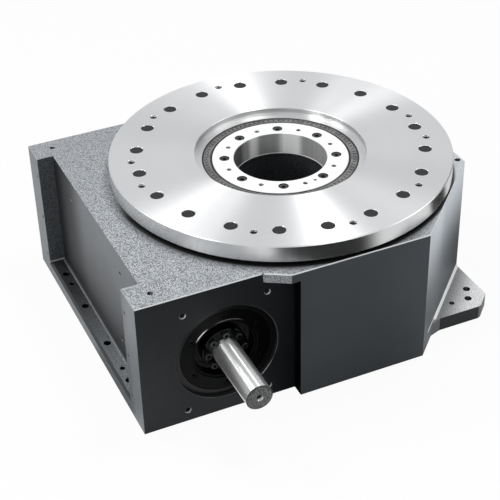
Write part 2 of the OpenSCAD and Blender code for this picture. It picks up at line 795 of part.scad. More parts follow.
module bearing_inner(flipped) {
    low = race_line(-9, -1);
    high = race_line(9, -1);
    translate([0, 0, brg_w / 2]) mirror([0, 0, flipped])
        rotate_extrude() polygon([
            [journal_r + 0.02, -11.4], [low + 2.2, -11.4], [low + 2.2, -9], [low, -9],
            [high, 9], [high + 2.5, 9], [high + 2.5, 11.5], [journal_r + 0.02, 11.5]]);
}

module bearing_outer(flipped) {
    translate([0, 0, brg_w / 2]) mirror([0, 0, flipped])
        rotate_extrude() polygon([
            [race_line(-8.5, 1), -8.5], [race_line(10, 1), 10], [race_r - 0.01, 10],
            [race_r - 0.01, -8.5]]);
}

module bearing_rollers(flipped) {
    half = taper_len / 2;
    translate([0, 0, brg_w / 2]) mirror([0, 0, flipped])
        for (i = [0 : taper_n - 1]) rotate([0, 0, 360 / taper_n * i])
            translate([taper_mid_r, 0, 0]) rotate([0, taper, 0])
                cylinder(r = taper_roller_r, h = taper_len, center = true);
}

module front_bearing_inner_rings() {
    color("silver") {
        on_cam_axis(sleeve_end) bearing_inner(1);
        on_cam_axis(sleeve_end + brg_w) bearing_inner(0);
    }
}

module front_bearing_outer_rings() {
    color("silver") {
        on_cam_axis(sleeve_end) bearing_outer(1);
        on_cam_axis(sleeve_end + brg_w) bearing_outer(0);
    }
}

module front_bearing_rollers() {
    color("gainsboro") {
        on_cam_axis(sleeve_end) bearing_rollers(1);
        on_cam_axis(sleeve_end + brg_w) bearing_rollers(0);
    }
}

module rear_bearing_inner_ring() {
    color("silver") on_cam_axis(rear_brg_y) bearing_inner(0);
}

module rear_bearing_outer_ring() {
    color("silver") on_cam_axis(rear_brg_y) bearing_outer(0);
}

module rear_bearing_rollers() {
    color("gainsboro") on_cam_axis(rear_brg_y) bearing_rollers(0);
}

module rear_cap() {
    face = block_back - 2;
    color("dimgray") difference() {
        on_cam_axis(0) rotate_extrude() polygon([
            [0, shaft_back + 6], [34, shaft_back + 6], [34, rear_nut_y + 1], [cap_spigot_r, rear_nut_y + 1],
            [cap_spigot_r, face - cap_t], [cap_r, face - cap_t], [cap_r, face - 1],
            [cap_r - 1, face], [0, face]]);
        on_cam_axis(face) around(2 * cap_screw_r, cap_screw_angles) {
            translate([0, 0, -cap_t - 1]) cylinder(r = 3.3, h = cap_t + 2);
            translate([0, 0, -6.5]) cylinder(r = 5.5, h = 8);
        }
    }
}

module rear_cap_screws() {
    color("gray") on_cam_axis(block_back - 2 - 6.5) around(2 * cap_screw_r, cap_screw_angles)
        socket_screw(6, 16, 10, 6);
}

module oil_plugs() {
    color("gray") for (p = oil_plug_places)
        translate([p[0], block_back, p[1]]) rotate([-90, 0, 0]) difference() {
            translate([0, 0, -18]) cylinder(r = 8, h = 18.5);
            translate([0, 0, -6]) cylinder(r = 4.6, h = 8, $fn = 6);
        }
}

// ---------- the tree of nodes ----------

housing();
centre_column();
column_screws();
centre_ring();
centre_ring_screws();
main_bearing_inner_ring();
bearing_snap_ring();
rim_seal();
front_bearing_housing();
front_housing_screws();
shaft_seal();
front_bearing_outer_rings();
rear_bearing_outer_ring();
rear_cap();
rear_cap_screws();
oil_plugs();
turning_plate();
plate_screws();
screw_caps();
turret_ring();
main_bearing_outer_ring();
centre_seal();
follower_studs();
follower_nuts();
camshaft();
barrel_cam();
cam_key();
cam_spacer();
seal_sleeve();
lock_nut();
lock_nut_screws();
rear_lock_nut();
front_bearing_inner_rings();
rear_bearing_inner_ring();
main_bearing_rollers();
front_bearing_rollers();
rear_bearing_rollers();
for (i = [1 : followers])
    follower_roller(i);
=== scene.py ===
# %% [markdown]
# # Hollow rotary platform
# A ring table on a boxy cast housing. A cam shaft sticks out of the front, and everything
# in the middle is open for cables. The solids come from the CAD model, and this lesson
# gives them their finishes, adds the fine pieces, and sets up a small studio.
# The first cell loads the solids and keeps the size they have.

# %% Load the solids
import json
import math
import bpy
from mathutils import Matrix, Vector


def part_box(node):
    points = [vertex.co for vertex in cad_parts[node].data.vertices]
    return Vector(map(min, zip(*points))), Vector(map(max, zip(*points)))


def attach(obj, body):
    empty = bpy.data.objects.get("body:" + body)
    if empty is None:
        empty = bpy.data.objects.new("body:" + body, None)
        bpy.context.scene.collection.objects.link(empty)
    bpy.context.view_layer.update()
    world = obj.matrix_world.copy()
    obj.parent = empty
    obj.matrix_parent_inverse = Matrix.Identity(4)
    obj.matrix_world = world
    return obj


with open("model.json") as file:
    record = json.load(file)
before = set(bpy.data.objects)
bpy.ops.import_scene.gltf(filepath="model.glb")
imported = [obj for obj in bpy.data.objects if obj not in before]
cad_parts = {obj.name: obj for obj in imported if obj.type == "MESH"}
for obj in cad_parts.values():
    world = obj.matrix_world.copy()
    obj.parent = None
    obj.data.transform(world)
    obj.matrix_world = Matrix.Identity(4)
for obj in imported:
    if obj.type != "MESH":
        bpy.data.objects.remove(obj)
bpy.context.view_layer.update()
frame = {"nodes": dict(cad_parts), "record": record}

from types import SimpleNamespace

import bmesh
import bpy
from mathutils import Matrix, Vector

# %% [markdown]
# ## Writing shader maths as ordinary maths
# A finish is a network of nodes. Wiring every Math node by hand hides what the finish
# does, so one small class wraps a value that changes over the surface. Adding or
# multiplying two such values adds the Math node behind the scenes. Every other kind of
# node comes from one method of the finish.

# %% A value that changes over a surface
class Value:
    def __init__(self, finish, socket):
        self.finish, self.socket = finish, socket

    def maths(self, operation, *values):
        return self.finish.maths(operation, *values)

    def __add__(self, other):
        return self.maths("ADD", self, other)

    def __sub__(self, other):
        return self.maths("SUBTRACT", self, other)

    def __mul__(self, other):
        return self.maths("MULTIPLY", self, other)

    def __truediv__(self, other):
        return self.maths("DIVIDE", self, other)

    def __pow__(self, other):
        return self.maths("POWER", self, other)

    def __rsub__(self, other):
        return self.maths("SUBTRACT", other, self)

    def __rtruediv__(self, other):
        return self.maths("DIVIDE", other, self)

    def __abs__(self):
        return self.maths("ABSOLUTE", self)

    __radd__ = __add__
    __rmul__ = __mul__


print("value ready")

# %% [markdown]
# ## A finish
# A finish is one material and the shader inside it. It reads the place of a point and the
# way the surface faces there, mixes colours, and makes bumps. The helpers step and band
# turn a number into a mask with a soft edge: step is dark below a value and light above
# it, under is the other way round, and band is light between two values.

# %% A finish, made of nodes
class Finish:
    def __init__(self, name, fixed):
        self.material = bpy.data.materials.new(name)
        self.material.use_nodes = True
        self.tree = self.material.node_tree
        self.shader = self.tree.nodes["Principled BSDF"]
        for socket, amount in fixed.items():
            self.shader.inputs[socket].default_value = amount

    def node(self, kind, settings=None, values=None, output=0):
        made = self.tree.nodes.new(kind)
        for name, setting in (settings or {}).items():
            setattr(made, name, setting)
        for place, value in (values or {}).items():
            self.connect(made.inputs[place], value)
        return Value(self, made.outputs[output])

    def connect(self, socket, value):
        if isinstance(value, Value):
            self.tree.links.new(value.socket, socket)
        else:
            socket.default_value = value

    def feed(self, **values):
        for name, value in values.items():
            self.connect(self.shader.inputs[name.replace("_", " ")], value)
        return self

    def place(self, output="Object"):
        return self.node("ShaderNodeTexCoord", output=output)

    def axes(self, vector):
        split = self.tree.nodes.new("ShaderNodeSeparateXYZ")
        self.connect(split.inputs[0], vector)
        return [Value(self, socket) for socket in split.outputs]

    def maths(self, operation, *values):
        return self.node("ShaderNodeMath", {"operation": operation}, dict(enumerate(values)))

    def noise(self, scale, detail=3.0, rough=0.5, where=None):
        return self.node("ShaderNodeTexNoise", values={
            "Vector": where or self.place(), "Scale": scale, "Detail": detail, "Roughness": rough})

    def cells(self, scale, feature="F1", where=None):
        return self.node("ShaderNodeTexVoronoi", {"feature": feature},
                         {"Vector": where or self.place(), "Scale": scale})

    def step(self, value, low, high):
        return self.node("ShaderNodeMapRange", {"interpolation_type": "SMOOTHSTEP"},
                         {"Value": value, "From Min": low, "From Max": high})

    def under(self, value, low, high):
        return 1 - self.step(value, low, high)

    def band(self, value, low, high, soft=0.0003):
        """One between low and high, nought outside, with soft edges."""
        return (self.step(value, low - soft, low + soft)
                * self.under(value, high - soft, high + soft))

    def blend(self, share, first, second):
        return self.node("ShaderNodeMix", {"data_type": "RGBA"},
                         {0: share, 6: first, 7: second}, output=2)

    def bump(self, height, distance, strength=1.0):
        return self.node("ShaderNodeBump", values={
            "Height": height, "Distance": distance, "Strength": strength})

    def between(self, x, y, z=0.0):
        return self.node("ShaderNodeCombineXYZ", values={0: x, 1: y, 2: z})


print("finish ready")

# %% [markdown]
# ## Greys, and a place to keep the finishes
# Steel, paint and rubber are all greys here, some a touch cooler than others, so one
# helper names them by how light they are. A finish is kept by the name of its slot, or of
# the one solid or piece that it is for.

# %% Greys and the store of finishes
def grey(level, warm=0.0):
    """A grey of this level; below nought, warm makes it cooler."""
    return (level * (1 + 2 * warm), level, level * (1 - 2 * warm), 1.0)


finishes = {}


def keep(name, finish):
    """Keeps a finish by name, for a slot, a solid or a new piece."""
    finishes[name] = finish
    print(name, "finish of", len(finish.tree.nodes), "nodes")


print("store of finishes ready")

# %% [markdown]
# ## Where the housing's faces are
# One casting carries several finishes: painted top and sides, milled and blackened ends,
# a machined seat round the shaft and bare pads on the lugs. The finish has to know which
# face it is on, so the places are measured from the solids first.

# %% Places on the housing
housing_low, housing_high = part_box("housing")
mounts = {mount["name"]: mount for mount in frame["record"]["mounts"]}
cam_x, seat_face, cam_z = mounts["motor_register"]["pos_m"]
seat_r = mounts["motor_register"]["dims"]["r_mm"] / 1000
table_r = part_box("turning_plate")[1].x
ring_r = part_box("centre_ring")[1].x
bore_r = mounts["centre_bore"]["dims"]["r_mm"] / 1000
lip_r = 0.047           # outer lip of the bearing housing
foot_top = 0.022        # top of the foot strip and the lugs
slant_reach = 0.356     # x and y of a slanted face add up to this
slant_share = 0.7071    # of that sum is the distance square to the face
lug_x = 0.12            # the lugs lie to the right of this
strip_x = housing_low.x
table_z = mounts["table_face"]["pos_m"][2]
bolt_x = mounts["motor_bolts"]["dims"]["spacing_x_mm"] / 2000
bolt_z = mounts["motor_bolts"]["dims"]["spacing_y_mm"] / 2000
pocket_x = mounts["pocket_wall_holes"]["pos_m"][0]


def off_table_axis(x, y):
    return (x * x + y * y) ** 0.5


def off_cam_axis(x, z):
    return ((x - cam_x) * (x - cam_x) + (z - cam_z) * (z - cam_z)) ** 0.5


def turn_round_cam_axis(f, x, z):
    """The angle round the cam shaft, from the top towards the left."""
    return f.maths("ARCTAN2", cam_x - x, z - cam_z)


print("shaft seat at x %.3f, z %.3f, radius %.3f" % (cam_x, cam_z, seat_r))

# %% [markdown]
# ## Which face is this
# A face is known by the way it points and by where it lies. Each mask is one on its own
# face and nought elsewhere, with a short soft edge, so that two finishes never meet in a
# hard step. The distance out from the slanted faces is kept too, for the lugs below them.

# %% Faces of the housing
def find_faces(f):
    on = SimpleNamespace()
    on.x, on.y, on.z = x, y, z = f.axes(f.place())
    nx, on.ny, on.nz = f.axes(f.place("Normal"))
    on.forward, on.faces_front, on.faces_left = -1 * y, -1 * on.ny, -1 * nx
    on.from_slant = (x + abs(y) - slant_reach) * slant_share
    on.near_front = f.under(y, -0.2, -0.19)
    on.top = f.step(on.nz, 0.75, 0.9)
    on.milled = f.step(abs(on.ny), 0.97, 0.995)
    on.main_face = f.step(abs(y), 0.238, 0.246)
    on.pad = on.top * f.under(z, foot_top + 0.004, foot_top + 0.006)
    on.lug = f.step(x, lug_x, lug_x + 0.005)
    on.ledge = f.band(nx, -0.7, -0.3, 0.05) * f.step(on.faces_front, 0.6, 0.7)
    upright_left = f.step(on.faces_left, 0.9, 0.95)
    on.step_wall = upright_left * f.step(x, -0.12, -0.11)
    on.in_pocket = upright_left * f.band(x, pocket_x - 0.003, pocket_x + 0.003, 0.002)
    on.outer_strip = f.step(on.faces_left, 0.5, 0.6) * f.under(x, strip_x + 0.002, strip_x + 0.004)
    on.pocket_end = (on.milled * f.under(x, pocket_x - 0.001, pocket_x)
                     * f.under(abs(y), 0.21, 0.215))
    on.slanted = f.step(nx, 0.6, 0.68) * f.step(abs(on.ny), 0.6, 0.68)
    return on


print("faces of the housing ready")

# %% [markdown]
# ## The seat round the shaft
# The motor's flange centres itself in a round seat that is sunk into the front. Seen from the
# front the seat is a circle, so its floor, wall and broken edge follow from the distance to the
# shaft's axis. The edge carries a painted highlight on the lower right.

# %% Seat and tapped holes
def find_seat(f, on):
    off_axis = off_cam_axis(on.x, on.z)
    on.sunk = f.step(on.y, seat_face + 0.0003, seat_face + 0.0008) * on.near_front
    on.seat = on.sunk * f.under(off_axis, seat_r - 0.0006, seat_r - 0.0002)
    on.seat_wall = on.sunk * f.band(off_axis, seat_r - 0.0005, seat_r + 0.001) * (1 - on.milled)
    on.seat_edge = (f.band(off_axis, seat_r + 0.0001, seat_r + 0.0008, 0.0001)
                    * f.band(on.faces_front, 0.4, 0.9, 0.1))
    # where the seat's edge gets a painted highlight, on the lower right
    on.rubbed = f.band(turn_round_cam_axis(f, on.x, on.z), -2.42, -2.12, 0.09)
    hole_reach = 0.005
    tapped = (f.band(abs(on.x - cam_x), bolt_x - hole_reach, bolt_x + hole_reach)
              * f.band(abs(on.z - cam_z), bolt_z - hole_reach, bolt_z + hole_reach))
    on.tapped = tapped * f.under(abs(on.ny), 0.3, 0.5) * on.near_front


print("seat ready")

# %% [markdown]
# ## Edges, roots and holes
# A broken edge is painted light, partly as thin paint and partly as a painted highlight. A root
# gets painted shade with a painted highlight along it, and a hole is painted dark as painted
# shade. These masks are narrow: most of them are a few millimetres of height or of depth.

# %% Edges, roots and holes of the housing
def find_edges(f, on):
    x, y, z = on.x, on.y, on.z
    roof = housing_high.z
    # broken top edges: partly thin paint, partly a painted highlight
    on.edge = f.band(on.nz, 0.35, 0.9, 0.06) * f.step(z, roof - 0.0016, roof - 0.0012)
    low_down = f.under(z, foot_top + 0.007, foot_top + 0.009)
    # painted shade in the roots low down
    on.root = f.band(on.nz, 0.15, 0.9, 0.05) * f.step(on.faces_left, 0.3, 0.4) * low_down
    # painted highlight along the root just above the foot
    on.root_line = (f.step(on.faces_left, 0.2, 0.3)
                    * f.band(z, foot_top + 0.0002, foot_top + 0.0012, 0.0002) * (1 - on.milled))
    # painted highlight where the foot meets the back end wall
    back_root = (f.step(on.faces_front, 0.5, 0.6) * f.band(z, foot_top, foot_top + 0.003)
                 * f.step(y, 0.17, 0.18))
    on.back_root = back_root * f.under(x, pocket_x - 0.002, pocket_x)
    # painted shade: the holes in the foot and the pocket wall are painted black
    foot_holes = (f.band(x, strip_x + 0.0035, pocket_x - 0.002)
                  * f.under(z, foot_top - 0.0012, foot_top - 0.0006))
    wall_holes = (f.band(x, pocket_x + 0.0008, pocket_x + 0.03)
                  * f.band(z, foot_top + 0.012, roof - 0.006))
    on.pits = (foot_holes + wall_holes) * f.under(abs(y), 0.185, 0.19)
    on.strip = (on.lug * f.band(z, foot_top + 0.0002, foot_top + 0.0042)
                * f.band(on.from_slant, -0.001, 0.0042))


print("edges of the housing ready")

# %% [markdown]
# ## Hammer finish
# The casting is sprayed with a hammer finish: a light grey paint that dries in small dimples with
# dark hollows between them. Noise and cells make the dimples, in both the colour and the bump.
# Painted shade darkens the top beside the table's rim, mostly in front of the table, and a painted
# shadow lies right under the rim. The pads on the lugs are bare metal, and the foot strip is paint
# with painted shade at the back and painted light towards the front.

# %% Paint on the faces that look up
def top_paint(f, on):
    radius = off_table_axis(on.x, on.y)
    corner = f.step(on.x - on.y * 0.5, 0.20, 0.27)
    # painted shade beside the table's rim, strongest in front of the table
    painted_rim_shade = (f.under(radius, table_r - 0.004, table_r + 0.022) * (1 - corner)
           * (0.3 + 0.7 * f.step(on.forward, -0.04, 0.08)))
    # painted shadow right under the table's rim
    painted_rim_shadow = f.under(radius, table_r + 0.001, table_r + 0.006) * f.step(on.forward, -0.03, 0.04)
    hammered = f.blend(on.hollow, grey(0.68, -0.02), grey(0.12, -0.035))
    hammered = f.blend(on.cloud * 0.35 + f.step(on.y, -0.10, 0.22) * 0.3, hammered,
                       grey(0.20, -0.03))
    hammered = f.blend(corner * 0.6, hammered, grey(0.85, -0.02))
    hammered = f.blend(painted_rim_shade * 0.8, hammered, grey(0.025, -0.03))
    hammered = f.blend(painted_rim_shadow, hammered, grey(0.003))
    # painted light on the front of the foot strip, and painted shade at its back
    painted_foot_light = f.step(on.forward, -0.12, 0.17)
    foot = f.blend(on.hollow, f.blend(painted_foot_light, grey(0.016, -0.03), grey(0.30, -0.03)),
                   f.blend(painted_foot_light, grey(0.005, -0.04), grey(0.13, -0.04)))
    bare = f.blend(f.step(on.from_slant, 0.0, 0.045), grey(0.26, -0.01), grey(0.95))
    bare = f.blend(f.step(on.grain, 0.42, 0.66) * 0.7, bare, grey(0.12, -0.02))
    return f.blend(on.pad, hammered, f.blend(on.lug, foot, bare))


print("paint on top ready")

# %% [markdown]
# ## Paint on the sides
# The upright front and back faces were milled flat and blackened, and the other sides carry a
# plain mid grey with painted shade low down. The pocket's wall has painted shade low down and
# towards its back end, and the slanted faces have painted light along their upper part.

# %% Paint on the upright faces
def side_paint(f, on):
    height = f.step(on.z, 0.0, housing_high.z)
    pocket_back_shade = f.step(on.y, 0.04, 0.115)
    plain = f.blend(on.grain * 0.6 + on.cloud * 0.4, grey(0.23, -0.03), grey(0.13, -0.04))
    # painted shade: the plain sides are darker low down
    sides = f.blend((1 - height) * 0.75, plain, grey(0.10, -0.04))
    # painted shade on the pocket's wall, low down and towards its back end
    pocket_wall_with_shade = f.blend(1 - height, f.blend(on.cloud, grey(0.18, -0.03), grey(0.12, -0.04)),
                    grey(0.022, -0.04))
    sides = f.blend(on.in_pocket, sides, f.blend(pocket_back_shade * 0.97, pocket_wall_with_shade, grey(0.012, -0.04)))
    sides = f.blend(on.outer_strip, sides, plain)
    # painted light on the upper part of the slanted faces, painted shade low on them
    sides = f.blend(on.slanted, sides,
                    f.blend(height * height * height, grey(0.12, -0.04), grey(0.80, -0.03)))
    charcoal = f.blend(on.main_face, grey(0.005, -0.15), grey(0.068, -0.06))
    charcoal = f.blend(f.noise(14.0, 2.0) * 0.3, charcoal, grey(0.018, -0.08))
    colour = f.blend(on.milled, sides, charcoal)
    speckle = f.step(on.grain, 0.4, 0.6)
    return f.blend(on.pocket_end, colour,
                   f.blend(speckle, grey(0.095, -0.05), grey(0.016, -0.05)))


print("paint on the sides ready")

# %% [markdown]
# ## Housing paint
# One casting carries all of these, so one finish blends them: the sides first, then what
# looks up, then the edges, roots and holes, and the seat last, because it is cut last.
# A painted picture would only fit one view, and this fits them all.

# %% Housing paint
def housing_paint():
    f = Finish("housing_paint", {"Specular IOR Level": 0.45})
    on = find_faces(f)
    find_seat(f, on)
    find_edges(f, on)
    on.grain = f.noise(720.0, 3.0, 0.85)
    on.cloud = f.noise(22.0, 4.0, 0.6)
    dimple = f.cells(600.0, "SMOOTH_F1")
    on.hollow = f.step(on.grain * 0.8 + dimple * 0.3, 0.44, 0.60)
    front_edge = 0.35 + 0.65 * f.step(on.faces_front, 0.3, 0.5)

    colour = side_paint(f, on)
    colour = f.blend(on.ledge, colour, f.blend(on.hollow, grey(0.42, -0.02), grey(0.14, -0.03)))
    colour = f.blend(on.top, colour, top_paint(f, on))
    # broken edges painted light, strongest on the front: partly worn paint, partly a painted
    # highlight
    colour = f.blend(on.edge * front_edge, colour, grey(0.66, -0.01))
    colour = f.blend(on.strip, colour, grey(0.9))
    # painted shade in the roots
    colour = f.blend(on.root, colour, grey(0.03, -0.04))
    # painted highlight along the root above the foot
    colour = f.blend(on.root_line * 0.35, colour,
                     f.blend(f.step(on.grain, 0.45, 0.6), grey(0.5), grey(0.1)))
    # painted highlight where the foot meets the back end wall
    colour = f.blend(on.back_root * 0.8, colour, f.blend(on.grain, grey(0.6), grey(0.3)))
    # painted shade inside the holes
    colour = f.blend(on.pits, colour, grey(0.001))
    colour = f.blend(on.tapped, colour, grey(0.9))
    colour = f.blend(on.step_wall, colour, grey(0.0, -0.03))
    colour = f.blend(on.seat, colour, grey(0.003, -0.05))
    colour = f.blend(on.seat_wall, colour, grey(0.012))
    # the seat's edge is dark, with a painted highlight on the lower right
    colour = f.blend(on.seat_edge, colour, f.blend(on.rubbed, grey(0.06), grey(1.0)))

    metal = (f.step(on.pad * on.lug + on.strip, 0.4, 0.6) * 0.6
             + (1 - on.top) * (1 - on.milled) * (1 - on.sunk) * 0.3 + on.step_wall * 0.7)
    rough = 0.40 + on.grain * 0.2 + on.milled * 0.05 - on.seat * 0.2 - on.step_wall * 0.2
    relief = ((on.grain * 0.6 + dimple * 0.5) * (0.10 + on.top * 0.90)
              * (1 - on.milled * 0.93))
    return f.feed(Base_Color=colour, Roughness=rough, Metallic=metal,
                  Normal=f.bump(relief, 0.001, 0.6))


keep("housing_paint", housing_paint())

# %% [markdown]
# ## Turned steel
# The table was faced on a lathe, which leaves fine rings round the axis. Light on such rings
# spreads across them and stays narrow along them, so each lamp shows as two bright fans that meet
# at the centre. The shader does this by its own anisotropy. A little noise along the radius makes
# the rings uneven, as a tool does that chatters. The wall of the sunk centre is plain, with
# painted shade darkening its upper part, though the lamps reach it.

# %% Turned steel
shade_depth = 0.007     # painted shade darkens the wall of the sunk centre down to here


def turned_steel(name, colour, roughness, anisotropy):
    f = Finish(name, {"Metallic": 1.0, "Anisotropic": anisotropy, "Anisotropic Rotation": 0.25})
    x, y, z = f.axes(f.place())
    radius = off_table_axis(x, y)
    rings = f.noise(1.0, 4.0, 0.7, where=f.between(radius * 900.0, 0.0, z * 900.0))
    broad = f.noise(1.0, 2.0, 0.5, where=f.between(radius * 60.0, 3.0, z * 60.0))
    cloud = f.noise(7.0, 3.0, 0.55)
    tint = f.blend(rings * 0.6 + broad * 0.4, grey(colour * 0.93), grey(colour * 1.05))
    upright = f.step(0.5 - f.axes(f.place("Normal"))[2], 0.0, 0.2)
    inside = upright * f.under(radius, 0.5 * table_r, 0.6 * table_r)
    rough = (roughness + (rings - 0.5) * 0.10 + (cloud - 0.5) * 0.05
             - upright * 0.14 + inside * 0.05)
    # painted shade on the upper part of the sunk centre's wall
    upper_wall = f.step(z, table_z - shade_depth - 0.001, table_z - shade_depth)
    tint = f.blend(inside, tint, f.blend(upper_wall, grey(colour), grey(colour * 0.75)))
    return f.feed(Base_Color=tint, Roughness=rough, Normal=f.bump(rings, 0.00003, 0.25))


keep("turned_steel", turned_steel("turned_steel", 0.765, 0.385, 0.96))

# %% [markdown]
# ## The still centre ring
# The ring's face was ground, so it is evenly bright with no fans. Its bore carries painted
# reflections of the lamps as upright bright streaks, with painted shade on one side, a painted
# highlight along its lower edge and painted shade in its screw holes. The streaks' places come
# from two bands round the bore and from noise that is read round the bore and not along it.

# %% Centre ring steel
def centre_ring_steel():
    f = Finish("centre_ring_steel", {})
    x, y, z = f.axes(f.place())
    face = f.step(f.axes(f.place("Normal"))[2], 0.5, 0.8)
    round_bore = f.maths("ARCTAN2", x, y)
    wide = f.noise(1.0, 1.0, 0.4, where=f.between(round_bore * 1.9, 7.3))
    fine = f.noise(1.0, 4.0, 0.7, where=f.between(round_bore * 16.0, 1.0))
    # painted reflections of the lamps: bright upright streaks at two places round the bore
    painted_bore_reflections = (f.band(round_bore, -0.28, -0.08, 0.12) * 0.9
                + f.band(round_bore, 0.46, 0.90, 0.14))
    painted_streaks = f.step(painted_bore_reflections * 0.8 + wide * 0.25 + (fine - 0.5) * 0.7, 0.05, 0.85)
    hole_edge = 0.0012
    # painted shade on the walls of the ring's screw holes
    painted_hole_shade = (1 - face) * f.band(off_table_axis(x, y), bore_r + hole_edge, ring_r - hole_edge)
    ring_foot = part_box("centre_ring")[0].z
    # painted highlight along the lower edge of the bore
    low_edge_highlight = (1 - face) * f.under(z, ring_foot + 0.0014, ring_foot + 0.0018)
    cloud = f.noise(90.0, 4.0, 0.6)
    bright = f.blend(cloud, grey(0.84), grey(0.93))
    # painted shade: one side of the bore is darker
    bore_wall_with_shade = f.blend(f.step(round_bore, -0.62, -0.42), grey(0.10), grey(0.34))
    walls = f.blend(painted_streaks, bore_wall_with_shade, grey(1.0))
    walls = f.blend(low_edge_highlight, walls, grey(1.0))
    walls = f.blend(painted_hole_shade, walls, grey(0.08))
    return f.feed(Base_Color=f.blend(face, walls, bright),
                  Roughness=0.42 + face * 0.16 + cloud * 0.06,
                  Metallic=0.1 + face * 0.9 - low_edge_highlight * 0.1,
                  Normal=f.bump(fine * (1 - face), 0.0001, 0.4))


keep("centre_ring", centre_ring_steel())

# %% [markdown]
# ## Ground steel
# The shaft is ground round, so its fine lines run round it and change along its length.
# Bearing rings and rollers are ground too. One function makes the lines for all of them,
# with the direction along which the lines change, and the threads' ridges borrow it.

# %% Ground steel
def ground_lines(f, way, colour, roughness):
    """The lines that grinding leaves along way, and the tint and roughness they give."""
    lines = f.noise(1.0, 5.0, 0.75, where=f.between(way * 1400.0, 0.0))
    broad = f.noise(1.0, 2.0, 0.5, where=f.between(way * 90.0, 4.0))
    smudge = f.noise(38.0, 3.0, 0.6)
    tint = f.blend(lines * 0.5 + broad * 0.5, grey(colour * 0.9), grey(colour * 1.06))
    return lines, tint, roughness + (lines - 0.5) * 0.06 + (smudge - 0.5) * 0.05


def ground_steel(name, colour, roughness, along="y"):
    f = Finish(name, {"Metallic": 1.0})
    way = dict(zip("xyz", f.axes(f.place())))[along]
    lines, tint, rough = ground_lines(f, way, colour, roughness)
    return f.feed(Base_Color=tint, Roughness=rough, Normal=f.bump(lines, 0.00002, 0.3))


keep("cam_steel", ground_steel("cam_steel", 0.55, 0.3))
keep("bearing_steel", ground_steel("bearing_steel", 0.68, 0.26, "z"))
keep("thread_steel", ground_steel("thread_steel", 0.42, 0.45, "z"))

# %% [markdown]
# ## The shaft
# The shaft is ground along its whole length, and its end face is only sawn, so the end is
# speckled and dull. A small bright centre hole in the end held it on the grinder. The
# edge between them is broken and looks dark.

# %% The shaft
def shaft_steel(colour, roughness, metal):
    f = Finish("shaft_steel", {"Anisotropic": 0.96, "Anisotropic Rotation": 0.25})
    x, y, z = f.axes(f.place())
    lines, ground, rough = ground_lines(f, y, colour, roughness)
    speckle = f.noise(900.0, 3.0, 0.7)
    faces_end = abs(f.axes(f.place("Normal"))[1])
    end = f.step(faces_end, 0.45, 0.6)
    flat = f.step(faces_end, 0.9, 0.98)
    centre_hole = f.under(off_cam_axis(x, z), 0.005, 0.0055)
    sawn = f.blend(f.step(speckle, 0.42, 0.58), grey(0.34), grey(0.07))
    tint = f.blend(end, ground, f.blend(flat, grey(0.05), sawn))
    tint = f.blend(centre_hole, tint, grey(colour * 0.5))
    return f.feed(Base_Color=tint, Roughness=rough + end * 0.1 - centre_hole * 0.3,
                  Metallic=metal - end * (1 - centre_hole) * 0.5,
                  Normal=f.bump(lines, 0.00002, 0.3))


keep("shaft_steel", shaft_steel(0.93, 0.41, 0.9))

# %% [markdown]
# ## Dark finishes
# Screws, nuts and covers are blackened: a thin oxide skin that is nearly black, a little
# shiny and slightly mottled.

# %% Blackened steel
def blackened_steel(name, colour, roughness):
    f = Finish(name, {"Metallic": 0.75})
    mottle = f.noise(160.0, 4.0, 0.6)
    fine = f.noise(900.0, 2.0, 0.5)
    tint = f.blend(f.step(mottle, 0.35, 0.7),
                   grey(colour * 0.75, -0.03), grey(colour * 1.35, -0.02))
    return f.feed(Base_Color=tint, Roughness=roughness + (mottle - 0.5) * 0.15,
                  Normal=f.bump(fine, 0.00006, 0.3))


keep("dark_steel", blackened_steel("dark_steel", 0.006, 0.24))
keep("screw_steel", blackened_steel("screw_steel", 0.08, 0.22))
keep("front_housing_screws", blackened_steel("sunk_screw_steel", 0.008, 0.5))
keep("lock_nut_screws", blackened_steel("nut_screw_steel", 0.04, 0.16))

# %% [markdown]
# ## The bearing housing round the shaft
# It is blackened as well. Two thin painted highlights lie along its lips on the upper left, and
# fade towards the top.

# %% The bearing housing round the shaft
def cartridge_steel():
    f = Finish("cartridge_steel", {})
    x, _, z = f.axes(f.place())
    faces_front = -1 * f.axes(f.place("Normal"))[1]
    from_shaft = off_cam_axis(x, z)
    turn = turn_round_cam_axis(f, x, z)
    outer_lip = f.band(from_shaft, lip_r + 0.0016, lip_r + 0.0032)
    inner_lip = f.band(from_shaft, lip_r - 0.0002, lip_r + 0.0006)
    # painted highlights along the outer and inner lips, on the upper left
    painted_lip_highlight = f.step(faces_front, 0.5, 0.6) * (outer_lip + inner_lip * 0.8)
    painted_lip_highlight = painted_lip_highlight * (f.band(turn, 0.58, 0.95, 0.1) + f.band(turn, -0.5, 0.2, 0.15) * 0.18)
    mottle = f.noise(120.0, 4.0, 0.6)
    tint = f.blend(mottle, grey(0.002, -0.05), grey(0.006, -0.05))
    return f.feed(Base_Color=f.blend(painted_lip_highlight, tint, grey(1.0)), Roughness=0.36 + mottle * 0.12,
                  Metallic=0.8 * (1 - painted_lip_highlight),
                  Normal=f.bump(mottle, 0.0001, 0.3))


keep("front_bearing_housing", cartridge_steel())

# %% [markdown]
# ## Castings inside
# Nobody paints the castings that stay inside, so they keep a dark, pitted skin.

# %% Rough casting
def rough_casting(name, colour):
    f = Finish(name, {"Metallic": 0.2, "Specular IOR Level": 0.35})
    skin = f.noise(330.0, 5.0, 0.7)
    pits = f.cells(240.0)
    tint = f.blend(f.step(skin, 0.3, 0.75),
                   grey(colour * 0.45, -0.04), grey(colour * 1.5, -0.03))
    return f.feed(Base_Color=tint, Roughness=0.62 + skin * 0.2,
                  Normal=f.bump(skin + pits, 0.0007, 0.6))


keep("cast_body", rough_casting("cast_body", 0.035))

# %% [markdown]
# ## Rubber
# Rubber is matt, with pores that hold dust. The seals and the ribs share this skin.

